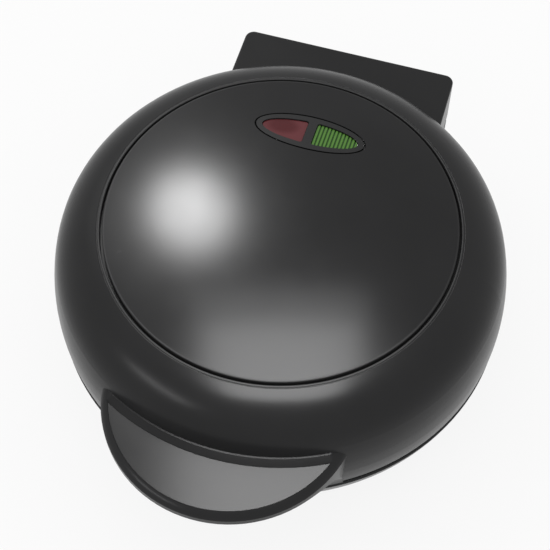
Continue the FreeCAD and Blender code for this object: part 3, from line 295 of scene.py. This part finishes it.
@dataclass(frozen=True)
class MouldedPlastic(Finish):
    """Moulded plastic with a fine grain, faint flow mottling and handling smears in its gloss."""

    colour: Rgb
    roughness: float
    specular: float = 0.5
    grain: float = 0.35 * MILLIMETRE
    grain_depth: float = 0.01 * MILLIMETRE
    grain_strength: float = 0.25
    flow: float = 34 * MILLIMETRE
    mottle: float = 0.12
    smear: float = 11 * MILLIMETRE
    smear_gloss: float = 0.04
    matt_ring: MattRing | None = None

    def inputs(self, graph: Graph) -> dict[str, Any]:
        """Colour, gloss and grain of the plastic.

        Args:
            graph: The graph that the nodes go into.

        Returns:
            Values and signals by the shader's socket names.
        """
        flow = graph.noise(self.flow, detail=3.0)
        smears = graph.noise(self.smear, detail=4.0)
        dark, light = shade(self.colour, 1 - self.mottle), shade(self.colour, 1 + self.mottle)
        colour = graph.mix(flow, dark, light)
        gloss = self.roughness + smears.swing(self.smear_gloss) + flow.swing(self.smear_gloss)
        if self.matt_ring is not None:
            gloss = gloss + self.matt_ring.roughness(graph)
        grain = graph.noise(self.grain, detail=1.0)
        return {"Base Color": colour, "Roughness": gloss, "Specular IOR Level": self.specular,
                "Normal": graph.bump(grain, self.grain_depth, self.grain_strength)}


@dataclass(frozen=True)
class TintedLens(Finish):
    """Clear tinted plastic: deep in colour, paler where it thins out, with a lit core."""

    colour: Rgb
    pale: Rgb
    glow: Rgb
    centre: Triple
    reach: Triple
    glow_strength: float
    thin_rise: Span = (0.75, 1.1)
    pale_glow: float = 0.35
    roughness: float = 0.14
    specular: float = 0.25
    ripple: Relief = Relief(cell=1.6 * MILLIMETRE, depth=0.02 * MILLIMETRE, strength=0.15)
    ripple_gloss: float = 0.04

    def thinness_and_highlight(self, graph: Graph) -> Signal:
        """Where the plastic thins out.

        Args:
            graph: The graph that the nodes go into.

        Returns:
            A mask that rises with the distance from the lens's middle.
        """
        offset = graph.vector("SUBTRACT", graph.place(), self.centre)
        away = graph.length(graph.vector("DIVIDE", offset, self.reach))
        return away.above(*self.thin_rise)

    def inputs(self, graph: Graph) -> dict[str, Any]:
        """Tint: paler at thinner edges, painted highlights on rib crests; fine ripples and a glow.

        Args:
            graph: The graph that the nodes go into.

        Returns:
            Values and signals by the shader's socket names.
        """
        thin_and_highlight = self.thinness_and_highlight(graph)
        ripple = self.ripple.height(graph)
        # On the ribbed lens the pale colour is a painted highlight along the rib crests.
        return {"Base Color": graph.mix(thin_and_highlight, self.colour, self.pale),
                "Roughness": self.roughness + ripple.swing(self.ripple_gloss),
                # The emission is a painted glow; the bulbs behind the lenses give no light.
                "Emission Color": graph.mix(thin_and_highlight, self.glow, shade(self.glow, self.pale_glow)),
                "Emission Strength": self.glow_strength, "Specular IOR Level": self.specular,
                "Normal": self.ripple.normal(ripple)}


@dataclass(frozen=True)
class RibbedLens(TintedLens):
    """A tinted lens with upright ribs: highlights painted on their crests, deep between them."""

    rib_start: float = 0.0
    rib_pitch: float = MILLIMETRE
    half_rib: float = 0.5
    crest_highlight_rise: Span = (0.14, 0.34)

    def thinness_and_highlight(self, graph: Graph) -> Signal:
        """The crests of the ribs, where highlights are painted.

        Args:
            graph: The graph that the nodes go into.

        Returns:
            A mask: 1 on each crest, where a highlight is painted, 0 in the grooves beside it.
        """
        across = graph.node("ShaderNodeSeparateXYZ", sockets={"Vector": graph.place()}, output="X")
        ribs = (across - self.rib_start) / self.rib_pitch
        # Pale crests are painted highlights; the grooves keep the deep colour.
        return ribs.folded(self.half_rib).above(*self.crest_highlight_rise)


@dataclass(frozen=True)
class NonStickCoat(Finish):
    """A sprayed dark coat on cast metal: fine orange peel and scattered pale flakes."""

    colour: Rgb
    flake: Rgb = (0.16, 0.16, 0.165)
    flake_spacing: float = 0.9 * MILLIMETRE
    flake_edge: Span = (0.10, 0.20)
    picked_area: float = 1.7 * MILLIMETRE
    picked_rise: Span = (0.52, 0.6)
    cloud: float = 28 * MILLIMETRE
    cloud_shades: Span = (0.85, 1.2)
    cloud_gloss: float = 0.12
    roughness: float = 0.36
    specular: float = 0.45
    peel: Relief = Relief(cell=0.7 * MILLIMETRE, depth=0.03 * MILLIMETRE, strength=0.3, detail=2.0)

    def inputs(self, graph: Graph) -> dict[str, Any]:
        """Flakes, spray texture and a gloss that varies a little.

        Args:
            graph: The graph that the nodes go into.

        Returns:
            Values and signals by the shader's socket names.
        """
        flakes = 1 - graph.specks(self.flake_spacing).above(*self.flake_edge)
        picked = graph.noise(self.picked_area, detail=0.0).above(*self.picked_rise)
        cloud = graph.noise(self.cloud, detail=3.0)
        dark, light = (shade(self.colour, factor) for factor in self.cloud_shades)
        coat = graph.mix(cloud, dark, light)
        return {"Base Color": graph.mix(flakes * picked, coat, self.flake),
                "Roughness": self.roughness + cloud.swing(self.cloud_gloss),
                "Specular IOR Level": self.specular,
                "Normal": self.peel.normal(self.peel.height(graph))}


@dataclass(frozen=True)
class BareMetal(Finish):
    """Bare metal with drawn or turned marks along one direction and dull spots."""

    metal: Metal
    marks: Triple = (60.0, 1600.0, 1600.0)
    mark_shades: Span = (0.82, 1.1)
    mark_gloss: float = 0.16
    mark_depth: float = 0.01 * MILLIMETRE
    mark_strength: float = 0.3
    stain: float = 6 * MILLIMETRE
    stain_rise: Span = (0.5, 0.75)
    stain_gloss: float = 0.12
    roughness: float = 0.3

    def inputs(self, graph: Graph) -> dict[str, Any]:
        """Streaks in colour, gloss and relief, and stains in the gloss.

        Args:
            graph: The graph that the nodes go into.

        Returns:
            Values and signals by the shader's socket names.
        """
        dark, light = (shade(self.metal.value, factor) for factor in self.mark_shades)
        streaks = graph.noise(cell=1.0, at=graph.stretched(self.marks))
        stains = graph.noise(self.stain, detail=3.0).above(*self.stain_rise)
        gloss = self.roughness + streaks.swing(self.mark_gloss) + stains * self.stain_gloss
        return {"Base Color": graph.mix(streaks, dark, light), "Metallic": 1.0, "Roughness": gloss,
                "Normal": graph.bump(streaks, self.mark_depth, self.mark_strength)}


@dataclass(frozen=True)
class HeatedSheath(Finish):
    """The sheath of a heater: oxidised metal with temper colours in patches."""

    base: Rgb = (0.12, 0.11, 0.10)
    temper: Rgb = (0.20, 0.13, 0.08)
    patch: float = 14 * MILLIMETRE
    patch_rise: Span = (0.4, 0.65)
    metallic: float = 0.7
    roughness: float = 0.45
    scale: Relief = Relief(cell=0.6 * MILLIMETRE, depth=0.03 * MILLIMETRE, strength=0.3, detail=2.0)
    scale_gloss: float = 0.2

    def inputs(self, graph: Graph) -> dict[str, Any]:
        """Temper patches, scale and a dull gloss.

        Args:
            graph: The graph that the nodes go into.

        Returns:
            Values and signals by the shader's socket names.
        """
        patches = graph.noise(self.patch, detail=3.0).above(*self.patch_rise)
        scale = self.scale.height(graph)
        return {"Base Color": graph.mix(patches, self.base, self.temper),
                "Metallic": self.metallic,
                "Roughness": self.roughness + scale.swing(self.scale_gloss),
                "Normal": self.scale.normal(scale)}


@dataclass(frozen=True)
class Rubber(Finish):
    """Soft dark rubber with a dusty bloom."""

    colour: Rgb = (0.018, 0.018, 0.018)
    bloom: Rgb = (0.05, 0.05, 0.052)
    dust: float = 5 * MILLIMETRE
    dust_rise: Span = (0.5, 0.8)
    dust_gloss: float = 0.15
    roughness: float = 0.72
    specular: float = 0.3
    tooth: Relief = Relief(cell=0.5 * MILLIMETRE, depth=0.03 * MILLIMETRE, strength=0.4)

    def inputs(self, graph: Graph) -> dict[str, Any]:
        """Bloom in patches over a fine tooth.

        Args:
            graph: The graph that the nodes go into.

        Returns:
            Values and signals by the shader's socket names.
        """
        dust = graph.noise(self.dust, detail=4.0).above(*self.dust_rise)
        return {"Base Color": graph.mix(dust, self.colour, self.bloom),
                "Roughness": self.roughness + dust * self.dust_gloss,
                "Specular IOR Level": self.specular,
                "Normal": self.tooth.normal(self.tooth.height(graph))}


@dataclass(frozen=True)
class Ceramic(Finish):
    """Unglazed ceramic with small dark specks."""

    colour: Rgb = (0.72, 0.69, 0.62)
    speck_spacing: float = 0.8 * MILLIMETRE
    speck_edge: Span = (0.08, 0.16)
    speck_shade: float = 0.5
    roughness: float = 0.62
    chalk: Relief = Relief(cell=0.4 * MILLIMETRE, depth=0.02 * MILLIMETRE, strength=0.4, detail=2.0)
    chalk_gloss: float = 0.2

    def inputs(self, graph: Graph) -> dict[str, Any]:
        """Specks on a chalky ground.

        Args:
            graph: The graph that the nodes go into.

        Returns:
            Values and signals by the shader's socket names.
        """
        specks = 1 - graph.specks(self.speck_spacing).above(*self.speck_edge)
        chalk = self.chalk.height(graph)
        return {"Base Color": graph.mix(specks, self.colour, shade(self.colour, self.speck_shade)),
                "Roughness": self.roughness + chalk.swing(self.chalk_gloss),
                "Normal": self.chalk.normal(chalk)}


@dataclass(frozen=True)
class BraidedSleeve(Finish):
    """A glass-fibre sleeve over a wire, with crossing strands."""

    colour: Rgb = (0.62, 0.60, 0.54)
    wave_unit: float = 18 * MILLIMETRE
    slants: tuple[Triple, Triple] = ((1.0, 1.0, 1.0), (-1.0, 1.0, 1.0))
    groove_painted_shade: float = 0.6
    roughness: float = 0.75
    weave_gloss: float = 0.1
    weave_depth: float = 0.1 * MILLIMETRE
    weave_strength: float = 0.5

    def inputs(self, graph: Graph) -> dict[str, Any]:
        """Two sets of slanted strands that cross.

        Args:
            graph: The graph that the nodes go into.

        Returns:
            Values and signals by the shader's socket names.
        """
        settings = {"wave_type": "BANDS", "bands_direction": "DIAGONAL"}
        strands = [graph.node("ShaderNodeTexWave", settings, {"Vector": graph.stretched(slant),
                                                              "Scale": 1.0 / self.wave_unit})
                   for slant in self.slants]
        weave = strands[0].at_least(strands[1])
        # Painted shade: the colour darkens in the grooves between the strands.
        return {"Base Color": graph.mix(weave, shade(self.colour, self.groove_painted_shade), self.colour),
                "Roughness": self.roughness + weave.swing(self.weave_gloss),
                "Normal": graph.bump(weave, self.weave_depth, self.weave_strength)}


@dataclass(frozen=True)
class BulbGlass(Finish):
    """The clear glass of a small bulb."""

    colour: Rgb = (0.92, 0.88, 0.84)
    clearness: float = 0.9
    refraction: float = 1.47
    roughness: float = 0.04
    ripple: Relief = Relief(cell=2.2 * MILLIMETRE, depth=0.05 * MILLIMETRE, strength=0.2)
    ripple_shade: float = 0.9
    ripple_gloss: float = 0.04

    def inputs(self, graph: Graph) -> dict[str, Any]:
        """Clear glass with drawn ripples.

        Args:
            graph: The graph that the nodes go into.

        Returns:
            Values and signals by the shader's socket names.
        """
        ripple = self.ripple.height(graph)
        return {"Base Color": graph.mix(ripple, shade(self.colour, self.ripple_shade), self.colour),
                "Transmission Weight": self.clearness, "IOR": self.refraction,
                "Roughness": self.roughness + ripple * self.ripple_gloss,
                "Normal": self.ripple.normal(ripple)}


HOUSING = MouldedPlastic("satin_black_housing", colour=(0.0215, 0.0215, 0.022), roughness=0.26,
                         specular=0.10)
PANEL = MouldedPlastic("satin_black_panel", colour=(0.0195, 0.0195, 0.02), roughness=0.26,
                       specular=0.10)
BEZEL = MouldedPlastic("satin_black_bezel", colour=(0.0155, 0.0155, 0.016), roughness=0.25,
                       specular=0.2, grain_strength=0.1)
GLAND = MouldedPlastic("black_gland", colour=(0.016, 0.016, 0.016), roughness=0.42,
                       grain_strength=0.4)
HOLDER = MouldedPlastic("natural_holder", colour=(0.50, 0.47, 0.42), roughness=0.5, mottle=0.06)
TERMINAL_WHITE = MouldedPlastic("white_terminal_block", colour=(0.66, 0.65, 0.61), roughness=0.45,
                                mottle=0.05)
PHENOLIC = MouldedPlastic("brown_phenolic", colour=(0.09, 0.05, 0.035), roughness=0.35, mottle=0.25)
COAT = NonStickCoat("dark_non_stick_coat", colour=(0.028, 0.028, 0.03))
SHEATH = HeatedSheath("oxidised_sheath")
STEEL = BareMetal("drawn_steel", Metal.STEEL)
ZINC = BareMetal("zinc_plated_steel", Metal.ZINC, marks=(900.0, 900.0, 60.0), roughness=0.34)
BRASS = BareMetal("turned_brass", Metal.BRASS, marks=(1800.0, 120.0, 120.0), roughness=0.28)
SHEET = BareMetal("rolled_aluminium", Metal.ALUMINIUM, marks=(40.0, 1500.0, 400.0), roughness=0.32)
FOOT_RUBBER = Rubber("dark_rubber")
SEAL = Ceramic("unglazed_ceramic")
SLEEVE = BraidedSleeve("glass_fibre_sleeve")
BULB = BulbGlass("clear_bulb_glass")


class Wardrobe:
    """The materials made so far, one for each finish."""

    def __init__(self) -> None:
        """Starts with no material."""
        self._made: dict[str, bpy.types.Material] = {}

    def material(self, finish: Finish) -> bpy.types.Material:
        """The material of a finish, built on its first use.

        Args:
            finish: The finish.

        Returns:
            Its material.
        """
        if finish.name not in self._made:
            self._made[finish.name] = finish.material()
        return self._made[finish.name]

    def dress(self, finish: Finish, *nodes: str) -> None:
        """Puts a finish on nodes of the frame.

        Args:
            finish: The finish.
            nodes: Names of the nodes.
        """
        for name in nodes:
            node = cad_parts[name]
            node.data.materials.clear()
            node.data.materials.append(self.material(finish))
            LOG.info("%s wears %s", name, finish.name)


@dataclass
class SubAssembly:
    """A group of nodes that is dressed together."""

    wardrobe: Wardrobe

    def dress(self) -> None:
        """Puts the finishes on."""
        raise NotImplementedError


@dataclass
class Lid(SubAssembly):
    """The domed lid: shell with visor handle, top panel and hinge pin."""

    edge_inside: float = 0.7 * MILLIMETRE
    edge_outside: float = 2.45 * MILLIMETRE

    def dress(self) -> None:
        """Satin black mouldings, matt where the panel meets the shell, and a steel pin."""
        low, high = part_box("top_panel")
        middle, radius = (low + high) / 2, (high.x - low.x) / 2
        ring = MattRing((middle.x, middle.y), radius - self.edge_inside, radius + self.edge_outside)
        self.wardrobe.dress(replace(HOUSING, name="satin_black_lid", matt_ring=ring), "lid_shell")
        self.wardrobe.dress(replace(PANEL, matt_ring=ring), "top_panel")
        self.wardrobe.dress(STEEL, "hinge_pin")


@dataclass
class IndicatorLights(SubAssembly):
    """The oval of two lights near the back of the lid."""

    glow_strength: float = 0.03
    rib_start: float = 2.10 * MILLIMETRE
    rib_pitch: float = 1.733 * MILLIMETRE

    def lens_box(self, node: str) -> dict[str, Triple]:
        """The middle and the half size of a lens's box, as its finish takes them."""
        low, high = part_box(node)
        return {"centre": tuple((low + high) / 2), "reach": tuple((high - low) / 2)}

    def dress(self) -> None:
        """Bezel, lenses, holder, bulbs and the holder's screw."""
        red = TintedLens(
            "red_lens_plastic", colour=(0.066, 0.0048, 0.0075), pale=(0.12, 0.024, 0.028),
            glow=(0.3, 0.02, 0.02), glow_strength=self.glow_strength, **self.lens_box("red_lens"))
        green = RibbedLens(
            "green_lens_plastic", colour=(0.012, 0.055, 0.002), pale=(0.085, 0.21, 0.032),
            glow=(0.08, 0.5, 0.02), glow_strength=self.glow_strength,
            rib_start=self.rib_start, rib_pitch=self.rib_pitch, **self.lens_box("green_lens"))
        self.wardrobe.dress(BEZEL, "indicator_bezel")
        self.wardrobe.dress(red, "red_lens")
        self.wardrobe.dress(green, "green_lens")
        self.wardrobe.dress(HOLDER, "lamp_holder")
        self.wardrobe.dress(BULB, "red_lamp", "green_lamp")
        self.wardrobe.dress(ZINC, "lamp_holder_screw")


@dataclass
class BakingHalf(SubAssembly):
    """One baking plate with its heater, reflector and screws."""

    half: Half

    def dress(self) -> None:
        """Coat, sheath, ceramic, sheet and screws."""
        side = self.half.value
        self.wardrobe.dress(COAT, f"{side}_plate")
        self.wardrobe.dress(SHEATH, f"{side}_heater")
        self.wardrobe.dress(SEAL, f"{side}_heater_seals")
        self.wardrobe.dress(STEEL, f"{side}_heater_terminals")
        self.wardrobe.dress(SHEET, f"{side}_reflector")
        self.wardrobe.dress(ZINC, f"{side}_plate_screws")


@dataclass
class Controls(SubAssembly):
    """The thermostat under the lower plate and the thermal fuse over the upper one."""

    def dress(self) -> None:
        """Phenolic thermostat, steel fuse and clip, zinc screws."""
        self.wardrobe.dress(PHENOLIC, "thermostat")
        self.wardrobe.dress(STEEL, "thermal_fuse", "fuse_clip")
        self.wardrobe.dress(ZINC, "thermostat_screws", "fuse_clip_screws")


@dataclass
class Base(SubAssembly):
    """The base shell with its wiring box, feet and gland, and all the leads."""

    def dress(self) -> None:
        """Satin black mouldings, rubber feet, small fittings and sleeved leads."""
        self.wardrobe.dress(HOUSING, "base_shell", "wiring_cover")
        self.wardrobe.dress(FOOT_RUBBER, *(f"{end}_{side}_foot" for end in ("front", "rear")
                                           for side in ("left", "right")))
        self.wardrobe.dress(GLAND, "cord_gland")
        self.wardrobe.dress(TERMINAL_WHITE, "terminal_block")
        self.wardrobe.dress(BRASS, "terminal_screws", "pivot_bush")
        self.wardrobe.dress(ZINC, "cover_screws")
        self.wardrobe.dress(SLEEVE, "hinge_lead", "base_leads", "lid_lead", "lamp_leads")


@dataclass
class PhotoCamera:
    """The camera at the photograph's viewing angle."""

    azimuth: float = CAMERA_AZIMUTH
    elevation: float = math.radians(59.34)
    place: Triple = (0.0943, -0.32225, 0.6206)
    focal_share: float = PHOTO_FOCAL_LENGTH / PHOTO_WIDTH
    sensor_millimetres: float = 36.0
    nearest: float = 0.01
    farthest: float = 50.0

    def build(self) -> None:
        """Makes the camera and sets it as the scene's."""
        data = bpy.data.cameras.new("photo_camera")
        data.sensor_width = self.sensor_millimetres
        data.lens = self.focal_share * self.sensor_millimetres
        data.clip_start, data.clip_end = self.nearest, self.farthest
        camera = bpy.data.objects.new("photo_camera", data)
        bpy.context.scene.collection.objects.link(camera)
        level = math.cos(self.elevation)
        forward = Vector((-math.sin(self.azimuth) * level, math.cos(self.azimuth) * level,
                          -math.sin(self.elevation)))
        camera.location = self.place
        camera.rotation_euler = forward.to_track_quat("-Z", "Y").to_euler()
        bpy.context.scene.camera = camera


@dataclass(frozen=True)
class Softbox:
    """An area light that the satin lid mirrors, with or without light for matt surfaces."""

    name: str
    place: Triple
    aim: Triple
    size: tuple[float, float]
    radiance: float
    oval: bool = False
    roll: float = 0.0
    lights_matt: bool = False

    def build(self) -> None:
        """Hangs the light."""
        data = bpy.data.lights.new(self.name, "AREA")
        data.shape = "ELLIPSE" if self.oval else "RECTANGLE"
        data.size, data.size_y = self.size
        area = self.size[0] * self.size[1] * (math.pi / 4 if self.oval else 1.0)
        data.energy = self.radiance * math.pi * area
        light = bpy.data.objects.new(self.name, data)
        light.location = self.place
        aim = (Vector(self.aim) - Vector(self.place)).to_track_quat("-Z", "Y").to_matrix()
        light.rotation_euler = (aim @ Matrix.Rotation(self.roll, 3, "Z")).to_euler()
        light.visible_camera = False
        light.visible_diffuse = self.lights_matt
        bpy.context.scene.collection.objects.link(light)


@dataclass
class Studio:
    """White surroundings, a pale floor and the soft lights."""

    lights: tuple[Softbox, ...]
    ambient: float = 0.85
    floor_radius: float = 6.0
    floor_sides: int = 96
    floor_drop: float = 0.2 * MILLIMETRE
    floor_colour: Rgb = (0.9, 0.9, 0.9)
    floor_white: float = 0.86

    @staticmethod
    def seen(graph: Graph) -> Signal:
        """The rays that show the surroundings: straight, mirrored or through glass.

        Args:
            graph: The graph that the nodes go into.

        Returns:
            A mask that is 1 for those rays.
        """
        rays = [graph.node("ShaderNodeLightPath", output=name)
                for name in ("Is Camera Ray", "Is Glossy Ray", "Is Transmission Ray")]
        return rays[0].at_least(rays[1]).at_least(rays[2])

    def build_world(self) -> None:
        """White where it is seen, softer where it only lights."""
        world = bpy.data.worlds.new("white_studio")
        bpy.context.scene.world = world
        world.use_nodes = True
        graph = Graph(world.node_tree)
        strength = self.ambient + self.seen(graph) * (1.0 - self.ambient)
        shader = graph.node("ShaderNodeBackground", sockets={"Color": WHITE, "Strength": strength})
        graph.node("ShaderNodeOutputWorld", sockets={"Surface": shader})

    def build_floor(self) -> None:
        """A pale disc under the object that takes a faint shadow."""
        turns = np.linspace(0, math.tau, self.floor_sides, endpoint=False)
        rim = [(self.floor_radius * math.cos(turn), self.floor_radius * math.sin(turn),
                -self.floor_drop) for turn in turns]
        mesh = bpy.data.meshes.new("floor")
        mesh.from_pydata(rim, [], [tuple(range(len(rim)))])
        floor = bpy.data.objects.new("floor", mesh)
        bpy.context.scene.collection.objects.link(floor)
        material = bpy.data.materials.new("pale_floor")
        material.use_nodes = True
        graph = Graph(material.node_tree)
        matt = graph.node("ShaderNodeBsdfDiffuse", sockets={"Color": self.floor_colour})
        white = graph.node("ShaderNodeEmission", sockets={"Color": WHITE, "Strength": 1.0})
        share = self.seen(graph) * self.floor_white
        graph.surface(graph.node("ShaderNodeMixShader", sockets={0: share, 1: matt, 2: white}))
        mesh.materials.append(material)

    def build(self) -> None:
        """Sets up the whole studio."""
        self.build_world()
        self.build_floor()
        for light in self.lights:
            light.build()
            LOG.info("light %s hung", light.name)
        bpy.context.scene.view_settings.view_transform = "Standard"


# The lid mirrors all five. Only the last one lights matt surfaces.
LIGHTS = (
    Softbox("overhead_box", place=(0.0249, -0.0750, 0.20), aim=(0.0249, -0.0750, 0.0),
            size=(0.109, 0.110), radiance=24.5, roll=CAMERA_AZIMUTH),
    Softbox("overhead_fade", place=(0.0188, -0.0633, 0.20), aim=(0.0188, -0.0633, 0.0),
            size=(0.128, 0.136), radiance=7.7, roll=CAMERA_AZIMUTH),
    Softbox("round_lamp", place=(-0.139, 0.1236, 0.32), aim=(-0.04, 0.0, 0.1),
            size=(0.085, 0.105), radiance=105.0, oval=True),
    Softbox("left_strip", place=(-0.568, -0.80, 0.526), aim=(-0.027, -0.085, 0.088),
            size=(0.5, 0.1), radiance=15.0),
    Softbox("left_key", place=(-1.1, 0.9, 1.5), aim=(0.0, 0.0, 0.05),
            size=(1.4, 1.4), radiance=0.9, lights_matt=True),
)


def main() -> None:
    """Dresses the part, lights it and sets the camera."""
    logging.basicConfig(level=logging.INFO)
    wardrobe = Wardrobe()
    groups = (Lid(wardrobe), IndicatorLights(wardrobe), BakingHalf(wardrobe, Half.UPPER),
              BakingHalf(wardrobe, Half.LOWER), Controls(wardrobe), Base(wardrobe))
    for group in groups:
        group.dress()
    PhotoCamera().build()
    Studio(lights=LIGHTS).build()


if __name__ == "__main__":
    main()
